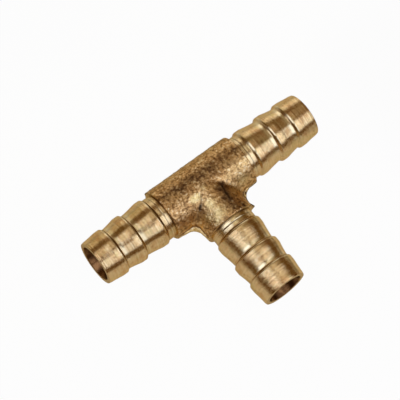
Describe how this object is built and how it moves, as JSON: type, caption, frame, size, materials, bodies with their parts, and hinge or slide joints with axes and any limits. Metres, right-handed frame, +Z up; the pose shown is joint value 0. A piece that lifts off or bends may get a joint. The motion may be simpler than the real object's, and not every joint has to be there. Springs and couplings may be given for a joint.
{
  "type": "hose barb tee",
  "caption": "Tee that joins flexible hoses: a forged body with flash on its parting line, and turned, barbed tails around one open waterway.",
  "frame": {"origin": "where the branch's axis meets the run's axis, in the middle of the waterway", "axes": "+X along the run towards the right tail, -Y along the branch towards its mouth, +Z up, square to the forging's parting plane"},
  "size_m": [0.0534, 0.0328, 0.0114],
  "materials": {
    "brass": "as-forged, grainy body with bright turned tails"
  },
  "bodies": {
    "root": {"barb_tee": "brass"}
  },
  "joints": []
}
